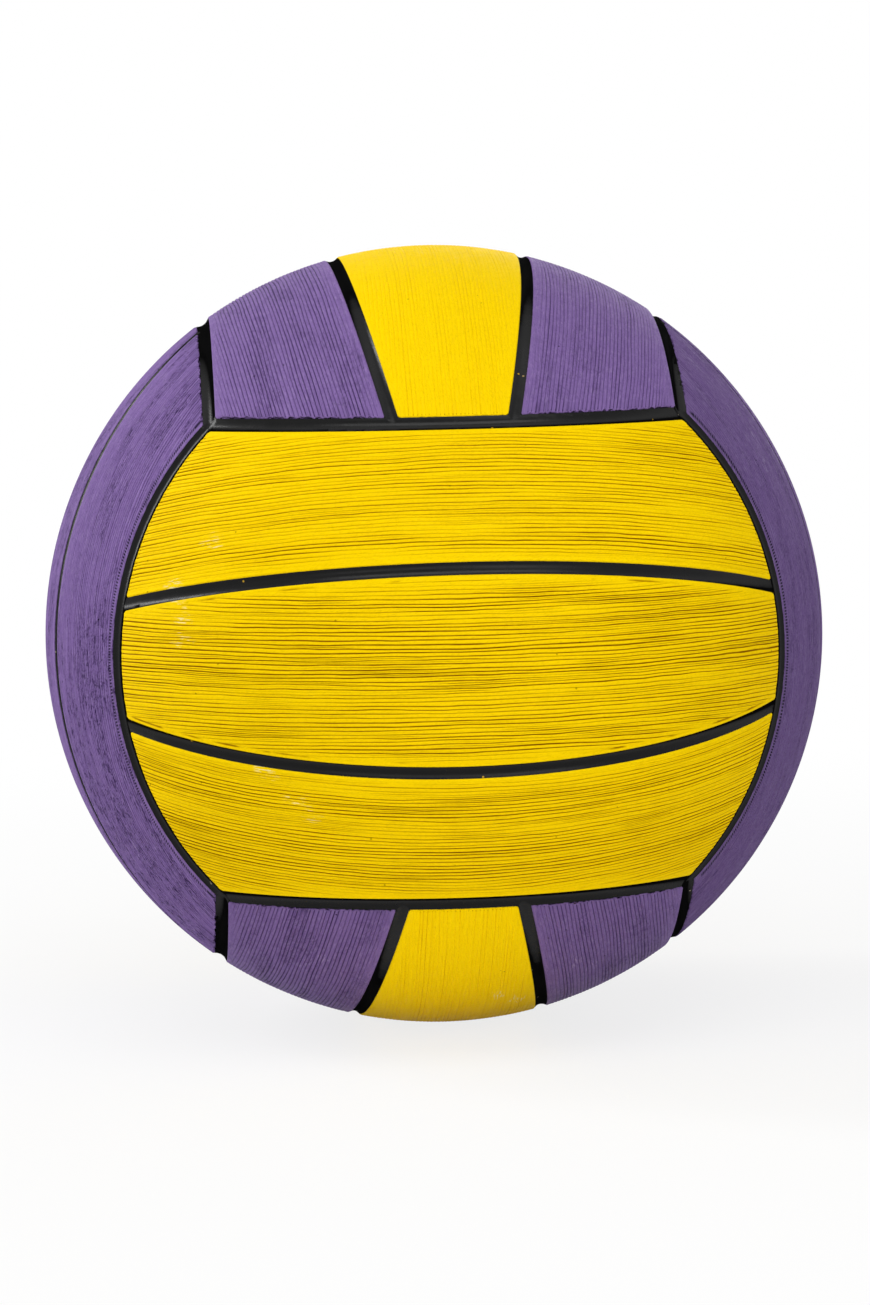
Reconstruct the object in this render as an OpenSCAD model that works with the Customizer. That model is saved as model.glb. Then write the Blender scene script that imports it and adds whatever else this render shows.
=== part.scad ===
// Water polo ball of size 4. Eighteen rubber panels sit in the pockets of a black rubber carcass,
// over a thread winding, a bladder and a valve whose plug snaps in from outside.
// The origin is the centre of the ball, +Z leaves by the top face and -Y by the front face.
// Lengths are in millimetres.

/* [Ball] */
// Diameter over the panels
ball_d = 210; // [180:1:240]

/* [Panels] */
// Thickness of a panel
panel_t = 1.3; // [1:0.1:2]
// Angle at the centre of the ball between the two strip channels of a face
middle_strip_angle = 28; // [20:1:36]
// Radius that rounds the panel corners where three faces meet
corner_round = 0.6; // [0.4:0.1:1.5]

/* [Channels] */
// Width of the black rib between two faces
edge_rib_w = 3.8; // [2.5:0.1:6]
// Width of the black rib between two strips of one face
strip_rib_w = 3.2; // [2:0.1:5]
// Width that the hollow of a channel takes from the panel on each side
panel_roll_w = 0.3; // [0.1:0.1:0.8]
// Rubber left in a rib, from the foot of the panels up to the deepest line of an edge channel
rib_floor_t = 0.4; // [0.2:0.1:0.6]
// Height of a strip channel's deepest line above that of an edge channel
strip_channel_rise = 0.1; // [0.05:0.05:0.3]
// Depth of the hollow where three faces meet, below the deepest line of the edge channels
junction_sink = 0.1; // [0.05:0.05:0.15]

/* [Inner layers] */
// Thickness of the carcass under the panels
carcass_t = 0.6; // [0.4:0.1:1.2]
// Thickness of the thread winding
winding_t = 0.4; // [0.3:0.1:1]
// Thickness of the bladder
bladder_t = 0.6; // [0.4:0.1:1.2]

/* [Valve housing] */
// Diameter of the neck that comes out through the wall of the ball
neck_d = 11; // [10:0.5:16]
// Depth of the neck's flat top below the outside of the ball
neck_sink = 0.4; // [0.3:0.1:0.6]
// Diameter of the flange that is bonded to the inside of the bladder
flange_d = 32; // [26:1:45]
// Thickness of the flange
flange_t = 1.5; // [1:0.1:2.5]
// Diameter of the barrel inside the ball
barrel_d = 12; // [11:0.5:16]
// Length of the barrel below the flange
barrel_l = 12; // [10:0.5:20]
// Width of the slope between the flange and the barrel
barrel_slope_w = 3; // [2:0.5:4]

/* [Valve plug] */
// Diameter of the head
head_d = 8; // [7:0.5:9]
// Thickness of the head
head_t = 1.5; // [1:0.1:2]
// Gap between the head and its seat, all round
head_gap = 0.1; // [0.05:0.05:0.3]
// Diameter of the stem, which is also that of the housing's bore
stem_d = 5.2; // [4.5:0.1:6]
// Diameter of the bulb that snaps in behind the barrel
bulb_d = 7; // [6.5:0.1:9]
// Length of the bulb's straight part
bulb_l = 1.2; // [0.8:0.1:3]
// Length of each of the bulb's two slopes
bulb_slope_l = 0.9; // [0.6:0.1:1.4]
// Diameter of the blind bore that takes the inflating needle
needle_d = 1.9; // [1.6:0.1:2.2]
// Length of that bore below its mouth, down to the slit that is shut at rest
needle_bore_l = 11; // [8:0.5:14]
// Diameter of the funnel at the mouth of the bore
mouth_d = 3; // [2.6:0.1:3.6]
// Depth of the funnel
mouth_l = 0.6; // [0.4:0.1:1]

/* [Hidden] */
$fn = 128;
ball_fn = 256; // the facets of a preview round the whole ball, whose walls are thin
overrun = 2; // how far a cut runs past what it cuts

// The faces, each with the turn about the ball's long diagonal that brings the top face to its
// axis, the flip that brings it to the far side, and the names of its strips
FACES = [
    ["top", 0, 0, ["left", "middle", "right"]],
    ["bottom", 0, 1, ["left", "middle", "right"]],
    ["right", 1, 0, ["front", "middle", "rear"]],
    ["left", 1, 1, ["front", "middle", "rear"]],
    ["back", 2, 0, ["lower", "middle", "upper"]],
    ["front", 2, 1, ["lower", "middle", "upper"]],
];
STRIPS = [-1, 0, 1];
VALVE_FACE = FACES[4];
PURPLE = [0.45, 0.36, 0.57];
YELLOW = [0.93, 0.75, 0.02];
BLACK = [0.16, 0.16, 0.15];

function panel_name(face, strip) = str("panel_", face[0], "_", face[3][strip + 1]);

ball_r = ball_d / 2;
carcass_r = ball_r - panel_t; // the foot of the panels
winding_r = carcass_r - carcass_t;
bladder_r = winding_r - winding_t;
inside_r = bladder_r - bladder_t;
past_r = ball_r + overrun;

// The twelve edges between the faces run over the corners of a cube, so each lies in a plane
// square to an axis, and seen from the centre it is this far from that axis
edge_angle = acos(1 / sqrt(3));
strip_tilt = middle_strip_angle / 2;
// Half of the arc of a strip channel, which ends on the edge of its face
strip_half_span = acos(cos(edge_angle) / cos(strip_tilt));
quarter_half_span = 45;

// A channel is cut by a round rod of this radius, and its hollow is w wide and d deep
function rod_r(w, d) = (w * w / 4 + d * d) / (2 * d);

edge_channel_w = edge_rib_w + 2 * panel_roll_w;
edge_channel_d = panel_t - rib_floor_t;
strip_channel_w = strip_rib_w + 2 * panel_roll_w;
strip_channel_d = edge_channel_d - strip_channel_rise;
// Three edge channels meet at 120 degrees, so the panel corners lie this far from their meeting
junction_w = edge_channel_w / sin(60) + 2 * corner_round;
junction_d = edge_channel_d + junction_sink;

neck_top = ball_r - neck_sink;
barrel_end = inside_r - flange_t - barrel_l;
stem_end = barrel_end - 2 * bulb_slope_l - bulb_l;

// Brings what is drawn for the top face to another face
module to_face(face) {
    rotate(a = 120 * face[1], v = [1, 1, 1]) rotate([180 * face[2], 0, 0]) children();
}

module ball(radius) {
    sphere(r = radius, $fn = ball_fn);
}

// The rod that cuts a channel w wide and d deep: it runs round the Z axis at an angle to it,
// over an arc that the X axis halves
module channel_rod(axis_angle, half_span, w, d) {
    rod = rod_r(w, d);
    centre_r = ball_r - d + rod;
    rotate([0, 0, -half_span])
        rotate_extrude(angle = 2 * half_span)
            translate([centre_r * sin(axis_angle), centre_r * cos(axis_angle)])
                circle(r = rod);
}

// The hollow of the edge between the top face and the right face
module edge_channel() {
    rotate([0, 90, 0])
        rotate([0, 0, 180])
            channel_rod(edge_angle, quarter_half_span, edge_channel_w, edge_channel_d);
}

// The two edge channels along the sides of the top face
module side_channels() {
    for (turn = [0, 180]) rotate([0, 0, turn]) edge_channel();
}

// The two edge channels across the ends of the top face
module end_channels() {
    for (turn = [0, 180]) rotate([0, 0, turn]) rotate(a = 240, v = [1, 1, 1]) edge_channel();
}

// The two channels between the strips of the top face
module strip_channels() {
    for (turn = [0, 180])
        rotate([0, 0, turn])
            rotate([0, 90 + strip_tilt, 0])
                rotate([0, 0, 180])
                    channel_rod(90, strip_half_span, strip_channel_w, strip_channel_d);
}

// The hollows at the corners of the top face, where three faces meet
module junctions() {
    hollow_r = rod_r(junction_w, junction_d);
    reach = (ball_r - junction_d + hollow_r) / sqrt(3);
    for (x = [-reach, reach]) for (y = [-reach, reach])
        translate([x, y, reach]) sphere(r = hollow_r);
}

// A cone about the Z axis with its sides at the edge angle, moved out by a distance across them
module edge_cone(shift) {
    tip = shift / sin(edge_angle);
    height = past_r - tip;
    translate([0, 0, tip])
        cylinder(h = height, r1 = 0, r2 = height * tan(edge_angle));
}

// The room of the top face between the ribs round it, from the foot of the panels outwards
module face_room() {
    difference() {
        intersection() {
            ball(past_r);
            edge_cone(edge_rib_w / 2);
        }
        ball(carcass_r);
        for (turn = [90, -90]) rotate([0, turn, 0]) edge_cone(-edge_rib_w / 2);
    }
}

// The slab of the top face that one strip takes: between both strip ribs, or beyond one of them
module strip_slab(strip) {
    wall = strip_rib_w / 2 / cos(strip_tilt); // from a strip channel's plane to the rib's side
    tip = wall / tan(strip_tilt);
    far_x = past_r * tan(strip_tilt);
    middle = [[0, tip], [far_x - wall, past_r], [wall - far_x, past_r]];
    side = [[wall, 0], [past_r, 0], [past_r, past_r], [far_x + wall, past_r]];
    rotate([90, 0, 0])
        linear_extrude(height = 2 * past_r, center = true)
            polygon(strip == 0 ? middle : [for (point = side) [strip * point[0], point[1]]]);
}

// The room of one strip of the top face
module strip_room(strip) {
    intersection() {
        face_room();
        strip_slab(strip);
    }
}

// The hole for the valve's neck, through the top face down to a radius
module neck_hole(from_r) {
    translate([0, 0, from_r]) cylinder(h = past_r - from_r, d = neck_d);
}

// One panel: its room up to the outside of the ball, with the channels' hollows along its edges
module panel(face, strip) {
    purple = face[1] == 1 || (face[1] == 0 && strip != 0);
    color(purple ? PURPLE : YELLOW)
        to_face(face)
            difference() {
                intersection() {
                    ball(ball_r);
                    strip_room(strip);
                }
                junctions();
                side_channels();
                end_channels();
                strip_channels();
                if (face == VALVE_FACE && strip == 0) neck_hole(inside_r);
            }
}

// The black carcass before its channels: a shell with the rooms of the panels sunk in it, so that
// ribs stand between them
module ribbed_shell() {
    difference() {
        ball(ball_r);
        ball(winding_r);
        for (face = FACES) for (strip = STRIPS) to_face(face) strip_room(strip);
        to_face(VALVE_FACE) neck_hole(inside_r);
    }
}

// The carcass, with a channel along the top of each rib. The junctions are cut first, then the
// edge channels that meet in them, then the strip channels that end in the edge channels.
module carcass() {
    color(BLACK)
        difference() {
            difference() {
                difference() {
                    ribbed_shell();
                    for (face = [FACES[0], FACES[1]]) to_face(face) junctions();
                }
                for (face = FACES) to_face(face) side_channels();
            }
            for (face = FACES) to_face(face) strip_channels();
        }
}

// A closed layer of the wall with the valve's hole in it
module layer(outer_r, inner_r) {
    difference() {
        ball(outer_r);
        ball(inner_r);
        to_face(VALVE_FACE) neck_hole(inner_r - overrun);
    }
}

// Nylon thread, wound over the bladder in every direction and bonded into one layer
module thread_winding() {
    color("ivory") layer(winding_r, bladder_r);
}

module bladder() {
    color("dimgray") layer(bladder_r, inside_r);
}

// The rubber housing: a neck out to the panel, a flange under the bladder and a barrel inside
module valve_housing() {
    seat_d = head_d + 2 * head_gap;
    flange_foot = inside_r - flange_t;
    color(BLACK)
        to_face(VALVE_FACE)
            difference() {
                union() {
                    translate([0, 0, flange_foot])
                        cylinder(h = neck_top - flange_foot, d = neck_d);
                    intersection() {
                        difference() {
                            ball(inside_r);
                            ball(flange_foot);
                        }
                        cylinder(h = past_r, d = flange_d);
                    }
                    translate([0, 0, barrel_end])
                        cylinder(h = barrel_l + flange_t / 2, d = barrel_d);
                    translate([0, 0, flange_foot - barrel_slope_w])
                        cylinder(
                            h = barrel_slope_w,
                            d1 = barrel_d,
                            d2 = barrel_d + 2 * barrel_slope_w
                        );
                }
                translate([0, 0, barrel_end - overrun])
                    cylinder(h = past_r - barrel_end, d = stem_d);
                translate([0, 0, neck_top - head_t]) cylinder(h = past_r, d = seat_d);
            }
}

// The plug: a head in its seat, a stem through the barrel and a bulb that holds it from inside
module valve_plug() {
    head_foot = neck_top - head_t;
    bulb_top = barrel_end - bulb_slope_l;
    outline = [
        [0, stem_end],
        [stem_d / 2, stem_end],
        [bulb_d / 2, stem_end + bulb_slope_l],
        [bulb_d / 2, bulb_top],
        [stem_d / 2, barrel_end],
        [stem_d / 2, head_foot],
        [head_d / 2, head_foot],
        [head_d / 2, neck_top],
        [0, neck_top]
    ];
    bore = [
        [0, neck_top - mouth_l - needle_bore_l],
        [needle_d / 2, neck_top - mouth_l - needle_bore_l],
        [needle_d / 2, neck_top - mouth_l],
        [mouth_d / 2, neck_top],
        [mouth_d / 2, past_r],
        [0, past_r]
    ];
    color(BLACK)
        to_face(VALVE_FACE)
            difference() {
                rotate_extrude() polygon(outline);
                rotate_extrude() polygon(bore);
            }
}

for (face = FACES) for (strip = STRIPS)
    panel(face, strip);
carcass();
thread_winding();
bladder();
valve_housing();
valve_plug();
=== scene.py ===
import math

import bpy
import numpy as np
from bpy.props import FloatProperty, FloatVectorProperty, PointerProperty
from mathutils import Matrix, Vector


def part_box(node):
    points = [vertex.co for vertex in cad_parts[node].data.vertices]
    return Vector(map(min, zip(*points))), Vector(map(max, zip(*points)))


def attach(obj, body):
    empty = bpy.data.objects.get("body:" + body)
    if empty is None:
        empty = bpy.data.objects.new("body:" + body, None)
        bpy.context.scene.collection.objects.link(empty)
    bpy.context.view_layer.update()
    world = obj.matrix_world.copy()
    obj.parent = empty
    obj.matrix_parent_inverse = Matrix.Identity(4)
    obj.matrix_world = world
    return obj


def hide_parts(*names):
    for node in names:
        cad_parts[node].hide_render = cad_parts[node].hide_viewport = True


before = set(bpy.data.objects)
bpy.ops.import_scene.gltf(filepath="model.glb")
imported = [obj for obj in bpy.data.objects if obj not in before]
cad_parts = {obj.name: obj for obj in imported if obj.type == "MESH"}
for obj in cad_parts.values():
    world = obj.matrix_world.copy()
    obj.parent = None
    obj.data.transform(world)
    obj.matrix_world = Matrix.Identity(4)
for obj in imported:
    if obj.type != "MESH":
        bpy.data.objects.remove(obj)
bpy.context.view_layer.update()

bl_info = {
    "name": "Water polo ball",
    "version": (1, 0, 0),
    "blender": (4, 5, 0),
    "location": "View3D > Sidebar > Ball",
    "description": "Dresses the packed water polo ball: lined panels, black channels and valve",
    "category": "Object",
}

BALL_RADIUS = -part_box("panel_bottom_middle")[0].z
PICTURE_W, PICTURE_H = 870, 1305

# Each face: its name, the turn about the long diagonal that brings the top face to its axis, the
# flip that brings it to the far side, and the names of its strips
FACES = [
    ("top", 0, 0, ("left", "middle", "right")),
    ("bottom", 0, 1, ("left", "middle", "right")),
    ("right", 1, 0, ("front", "middle", "rear")),
    ("left", 1, 1, ("front", "middle", "rear")),
    ("back", 2, 0, ("lower", "middle", "upper")),
    ("front", 2, 1, ("lower", "middle", "upper")),
]
# The finish of each face's three strips, in the same order: how deep the lines are, how much dust
# and painted shade lies in them, how much of the strip is rough, how far its lips are creased, how
# clear the row of pits along its outer side is, how much light or shade is painted on its rubber
# (1 is the rubber's own colour, above 1 painted light, below 1 painted shade) and how even its
# lines are
FINISH = {
    "top": ((1.00, 0.85, 0.35, 0.5, 0.0, 1.08, 0.8), (0.55, 0.26, 0.06, 0.2, 0.0, 1.00, 0.5),
            (0.85, 0.70, 0.30, 0.4, 0.0, 1.05, 0.7)),
    "bottom": ((0.95, 0.85, 0.50, 0.5, 0.0, 0.98, 0.6), (0.60, 0.30, 0.12, 0.3, 0.0, 1.04, 0.5),
               (0.90, 0.80, 0.40, 0.5, 0.0, 0.97, 0.6)),
    "right": ((0.80, 0.75, 0.35, 0.4, 1.8, 0.75, 0.3), (0.80, 0.75, 0.40, 0.4, 0.0, 0.84, 0.3),
              (0.90, 0.85, 0.50, 0.5, 0.8, 0.90, 0.3)),
    "left": ((1.40, 1.10, 1.00, 0.5, 1.1, 1.15, 0.0), (1.10, 1.00, 0.80, 0.6, 0.0, 1.12, 0.0),
             (1.00, 0.95, 0.60, 0.5, 0.9, 0.96, 0.2)),
    "back": ((0.95, 1.00, 0.20, 0.5, 0.0, 1.00, 0.1), (1.00, 1.05, 0.18, 0.4, 0.0, 0.98, 0.0),
             (0.95, 0.95, 0.18, 0.5, 0.0, 1.00, 0.1)),
    "front": ((1.00, 1.15, 0.20, 0.4, 0.0, 1.00, 0.1), (1.00, 1.25, 0.18, 1.0, 0.0, 1.00, 0.0),
              (0.95, 0.88, 0.16, 0.4, 0.0, 1.00, 0.1)),
}
# Where the front panels are worn pale by scuffing, which also paints highlights on their ridges
# there: places on a strip in millimetres, across it and along it
SCUFFS_AND_HIGHLIGHTS = {
    "panel_front_lower": ((3.0, 53.0), (8.5, 47.0), (14.0, 44.0)),
    "panel_front_middle": ((17.0, 82.0), (12.0, 77.0), (7.0, 78.0)),
    "panel_front_upper": ((2.5, 80.0), (12.0, 71.0)),
}
VALVE_PANEL = "panel_back_middle"
EDGE_ANGLE = math.acos(1 / math.sqrt(3))


def metres(name, description, default):
    """A length in metres."""
    return FloatProperty(name=name, description=description, default=default, unit="LENGTH",
                         precision=6)


def watts(name, description, default):
    """The power of a lamp in watts."""
    return FloatProperty(name=name, description=description, default=default, unit="POWER", min=0)


def rgb(name, description, default):
    """A colour in linear shares of red, green and blue."""
    return FloatVectorProperty(name=name, description=description, default=default, size=3,
                               subtype="COLOR", min=0, max=1)


class BallSizes(bpy.types.PropertyGroup):
    """The sizes of the ball's surface."""
    ball_radius: metres("Ball radius", "Radius over the ridges of the panels", BALL_RADIUS)
    panel_depth: metres("Panel depth", "From the ridges down to the foot of a panel", 0.0013)
    strip_tilt: FloatProperty(
        name="Strip tilt", description="Angle from the middle of a face to its strip channels",
        default=math.radians(14), subtype="ANGLE")
    edge_rib: metres("Edge rib", "Width of the black rib between two faces", 0.0038)
    strip_rib: metres("Strip rib", "Width of the black rib between two strips", 0.0032)
    rib_gap: metres("Rib gap", "Hairline gap between a panel and the rib beside it", 0.00002)
    line_pitch: metres("Line pitch", "Distance from one groove to the next", 0.00101)
    groove_depth: metres("Groove depth", "Mean depth of the grooves between the ridges", 0.00028)
    column_step: metres("Column step", "Length of a panel's faces along its lines", 0.0015)
    corner_radius: metres("Corner radius", "Radius that rounds a panel's corners", 0.0008)
    valve_hole: metres("Valve hole", "Diameter of the hole in the panel for the valve's neck",
                       0.011)


class BallColours(bpy.types.PropertyGroup):
    """The colours of the rubbers."""
    yellow: rgb("Yellow", "Ridges of the yellow panels", (1.0, 0.685, 0.0006))
    # The dark colour of the streaks and specks, and of the dust with painted shade in the grooves
    yellow_groove: rgb("Yellow groove", "Grooves of the yellow panels", (0.29, 0.108, 0.0003))
    # The pale colour of worn places, and of the painted sheen and highlights on the ridges
    yellow_rubbed_and_sheen: rgb("Yellow rubbed", "Rubbed places on the yellow ridges", (0.98, 0.86, 0.42))
    purple: rgb("Purple", "Ridges of the purple panels", (0.212, 0.128, 0.345))
    # The dark colour of the streaks and specks, and of the dust with painted shade in grooves and
    # pits
    purple_groove: rgb("Purple groove", "Grooves and pits of the purple panels",
                       (0.036, 0.018, 0.078))
    # The pale colour of worn places, and of the painted sheen and highlights on the ridges
    purple_rubbed_and_sheen: rgb("Purple rubbed", "Rubbed places on the purple ridges", (0.34, 0.25, 0.47))
    black: rgb("Black", "Rubber of the channels and the valve", (0.0016, 0.0016, 0.0017))
    fleck: rgb("Fleck", "Specks of light dust in the channels", (0.30, 0.26, 0.18))
    crumb: rgb("Crumb", "Crumbs of yellow rubber in the channels", (0.62, 0.36, 0.02))
    thread: rgb("Thread", "Nylon thread of the winding", (0.72, 0.68, 0.55))
    bladder: rgb("Bladder", "Butyl rubber of the bladder", (0.02, 0.02, 0.022))
    talc: rgb("Talc", "Talc on the bladder", (0.35, 0.34, 0.33))


class StageSettings(bpy.types.PropertyGroup):
    """The lamps, the room, the floor and the camera."""
    ambient: FloatProperty(
        name="Ambient", description="Strength of the white room on the ball",
        default=0.30, min=0, soft_max=2)
    top_power: watts("Top lamp", "Power of the soft lamp above", 0.6)
    front_power: watts("Front lamp", "Power of the soft lamp high in front", 7.0)
    left_power: watts("Left lamp", "Power of the soft lamp in front at the left", 0.3)
    right_power: watts("Right lamp", "Power of the soft lamp in front at the right", 1.5)
    low_power: watts("Low lamp", "Power of the wide lamp low in front", 2.5)
    rim_power: watts("Rim lamp", "Power of the slim lamp at the left, behind the ball", 8.5)
    back_power: watts("Back lamp", "Power of the soft lamp behind the ball", 3.0)
    floor_white: FloatProperty(
        name="Floor white", description="Share of the floor that shows plain white to the camera",
        default=0.80, min=0, max=1, subtype="FACTOR")
    floor_matt: FloatProperty(
        name="Floor matt", description="How much light the matt share of the floor sends back",
        default=0.90, min=0, max=1, subtype="FACTOR")
    floor_extent: metres("Floor extent", "Length of the floor's sides", 60.0)
    camera_lens: FloatProperty(
        name="Lens", description="Focal length on a 36 mm frame, in millimetres",
        default=111.06, min=1)


def face_matrix(turn, flip):
    """The rotation that carries the top face to another: a half turn about X where flip is 1, then
    so many thirds of a turn about the diagonal (1, 1, 1), each of which sends X to Y, Y to Z and Z
    to X."""
    third = np.array([[0, 0, 1], [1, 0, 0], [0, 1, 0]], float)
    half = np.diag([1.0, -1.0, -1.0]) if flip else np.eye(3)
    return np.linalg.matrix_power(third, turn) @ half


def value_noise(u, v, seed):
    """Random numbers from -1 to 1 at whole values of u and v, blended between them by the smooth
    step 3x^2 - 2x^3 in both directions."""
    count = 256
    table = np.random.default_rng(seed).uniform(-1, 1, (count, count))
    iu, iv = np.floor(u).astype(int), np.floor(v).astype(int)
    fu, fv = u - iu, v - iv
    fu, fv = fu * fu * (3 - 2 * fu), fv * fv * (3 - 2 * fv)
    here, there = iu % count, (iu + 1) % count
    near, far = table[here, iv % count], table[there, iv % count]
    near_next, far_next = table[here, (iv + 1) % count], table[there, (iv + 1) % count]
    return (near * (1 - fu) + far * fu) * (1 - fv) + (near_next * (1 - fu) + far_next * fu) * fv


def smooth_step(low, high, x):
    """0 below low, 1 above high and 3t^2 - 2t^3 between them."""
    t = np.clip((x - low) / (high - low), 0, 1)
    return t * t * (3 - 2 * t)


# Distances from a panel's wall where its rounded edge has a row of points, and how far the edge
# lies below the ridges there, both in millimetres
EDGE_AT = np.array([0.0, 0.07, 0.17, 0.30, 0.46, 0.66, 0.90, 1.15])
EDGE_FALL = np.array([0.40, 0.20, 0.09, 0.03, 0.0, 0.0, 0.03, 0.06])
# Distances from a panel's end of its next few columns, in millimetres
END_AT = np.array([1.5, 2.2, 3.2])
# Places on the way from one groove to the next that have a row of points, how deep the grooves are
# there, and how deep the second, finer line between them is
LINE_AT = np.array([0.0, 0.09, 0.19, 0.36, 0.52, 0.66, 0.81, 0.91])
LINE_FALL = np.array([1.0, 0.66, 0.20, 0.0, 0.0, 0.0, 0.20, 0.66])
SECOND_FALL = np.array([0.0, 0.0, 0.0, 0.0, 1.0, 0.0, 0.0, 0.0])
# The columns on either side of the valve's hole: how many, and their distance in millimetres
HOLE_COLUMNS, HOLE_STEP = 27, 0.24
# A row of points closer than this to the border, in millimetres, is laid on the border
SLIVER = 0.03
# The search for a strip's outer side: the widest angle tried, and how often the range is halved
WIDEST, HALVINGS = 0.6, 40
# The strength of the weakest and the strongest line
STRENGTH = (0.42, 1.45)
# Depths of a tear, a crease and a pit, and the greatest depth of anything, in millimetres
TEAR_DEPTH, CREASE_DEPTH, PIT_DEPTH, DEEPEST = 0.22, 0.32, 0.26, 0.62
# The foot of a panel has one row of points where its outside has this many, but keeps every row at
# the valve's hole and so many more on either side of it
FOOT_EVERY, BESIDE_HOLE = 24, 3
# The bake's map, in shares of its side: the stretch used across it, the bands up it of the outside,
# the foot and the first loop of walls, and the step up to the next loop's band
MAP_ACROSS = (0.01, 0.99)
OUTSIDE_BAND, FOOT_BAND, WALL_BAND, NEXT_WALL = (0.10, 0.99), (0.01, 0.05), (0.06, 0.072), 0.02
# What the materials read at each point, and the share of it that the foot below has
ATTRIBUTES = {"groove": 0, "rough": 0, "rub": 0, "pits": 0, "along": 1, "across": 1, "tone": 1}
# Layers of noise over a panel. For each, its weight, its steps for one line or millimetre across,
# where it starts across, its length along in millimetres, where it starts along, and its number,
# which is added to the panel's seed
NOISE = {
    "stray_together": ((0.24, 0.31, 0, 21, 40, 0),),
    "stray_alone": ((0.22, 1, 0, 45, 70, 16), (0.12, 0.83, 0.4, 6, 90, 1)),
    "patchy": ((0.48, 0.91, 0.5, 24, 20, 3), (0.144, 0.37, 7, 40, 60, 4),
               (0.1344, 1.7, 3, 7.1, 10, 6), (0.072, 3.3, 3, 2.1, 10, 15)),
    "second": ((1, 1, 0.5, 18, 25, 19),),
    "fade": ((1.4, 0.11, 0, 14, 30, 7),),
    "rough": ((1, 1 / 5, 11, 27, 50, 8), (0.5, 1 / 1.8, 5, 11, 70, 9)),
    "tear": ((1, 1 / 0.55, 0, 3.1, 33, 10),),
    "teeth": ((0.62, 1 / 0.64, 0, 1, 0, 17), (0.35, 1 / 3.1, 0, 1, 0, 18)),
    "crease": ((1, 1, 0.5, 6, 0, 11), (0.4, 1, 9.5, 1.9, 0, 12)),
    "rub": ((0.5, 1 / 1.3, 0, 3.1, 0, 14),),
    "swell": ((0.02, 1 / 9, 0, 23, 0, 5),),
}


def layered(kind, across, along, seed):
    """The sum of the layers of that noise."""
    return sum(weight * value_noise(across * steps + first, along / length + start, seed + number)
               for weight, steps, first, length, start, number in NOISE[kind])


def edge_fall(distance):
    """Depth of the rounded edge at a distance from the wall, both in millimetres."""
    return np.interp(distance, EDGE_AT, EDGE_FALL, right=0.0)


class Strip:
    """The surface of one strip in the frame of the top face. A point is sin(a) W + cos(a) (cos(b) M
    + sin(b) Y) times the ball's radius: a is the angle across the strip, constant along each line,
    and b the angle along it. W is square to the middle plane of a middle strip, or to the strip
    channel of an outer one."""

    def __init__(self, sizes, strip):
        self.radius = sizes.ball_radius
        self.strip = strip
        self.tilt = sizes.strip_tilt
        self.edge_gap = (sizes.edge_rib / 2 + sizes.rib_gap) / self.radius
        self.strip_gap = (sizes.strip_rib / 2 + sizes.rib_gap) / self.radius
        if strip == 0:
            self.across, self.middle = np.array([1.0, 0, 0]), np.array([0, 0, 1.0])
        else:
            sine, cosine = math.sin(self.tilt), math.cos(self.tilt)
            self.across = np.array([strip * cosine, 0, -sine])
            self.middle = np.array([strip * sine, 0, cosine])
        self.end_height = math.cos(EDGE_ANGLE - self.edge_gap)
        self.side_reach = math.cos(EDGE_ANGLE + self.edge_gap)

    def directions(self, a, b):
        """The unit vectors at angles a and b."""
        wide, long = np.cos(a) * np.cos(b), np.cos(a) * np.sin(b)
        return (np.sin(a)[..., None] * self.across + wide[..., None] * self.middle
                + long[..., None] * np.array([0, 1.0, 0]))

    def end_angle(self, a):
        """The angle b at which a line leaves the face over its end: cos(b) = (end height - sin(a)
        W_z) / (cos(a) M_z)."""
        level = (self.end_height - np.sin(a) * self.across[2]) / (np.cos(a) * self.middle[2])
        return np.arccos(np.clip(level, -1, 1))

    def along(self, a, columns):
        """The angle b of each column on line a, and its distance from the nearer end: the first
        columns lie at fixed distances from the end and the rest share what is left."""
        end = self.end_angle(a)
        radius = self.radius * np.cos(a)
        half = end * radius
        distance = columns["fixed"] + columns["share"] * (half - columns["fixed"].max())
        return columns["side"] * (end - distance / radius), distance

    def outside(self, a, columns):
        """How far line a lies beyond the strip's outer side at each column, as a signed value."""
        point = self.directions(a, self.along(a, columns)[0])
        if self.strip == 0:
            plane = np.array([math.cos(self.tilt), 0, -math.sin(self.tilt)])
            return point @ plane + math.sin(self.strip_gap)
        return self.strip * point[..., 0] - self.side_reach

    def sides(self, columns):
        """The angles a of the strip's two long sides at each column, the outer one by bisection."""
        low = np.zeros(len(columns["side"]))
        high = np.full_like(low, WIDEST)
        for _ in range(HALVINGS):
            middle = (low + high) / 2
            beyond = self.outside(middle, columns) > 0
            low, high = np.where(beyond, low, middle), np.where(beyond, middle, high)
        inner = -low if self.strip == 0 else np.full_like(low, math.asin(self.strip_gap))
        return inner, low


def columns_of(length, step, near_ends, extra):
    """The columns of a strip about that long: those at fixed distances from each end, then evenly
    spaced ones, and extra ones at given shares of the half length."""
    fixed = np.array(near_ends)
    count = int(round((length / 2 - fixed[-1]) / step))
    shares = np.unique(np.concatenate([np.arange(1, count) / count, np.array(extra, float)]))
    first = np.concatenate([fixed, np.full(len(shares), fixed[-1])])
    share = np.concatenate([np.zeros(len(fixed)), shares])
    return {
        "fixed": np.concatenate([first, [fixed[-1]], first[::-1]]),
        "share": np.concatenate([share, [1.0], share[::-1]]),
        "side": np.concatenate([-np.ones(len(first)), [0.0], np.ones(len(first))]),
    }


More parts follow.
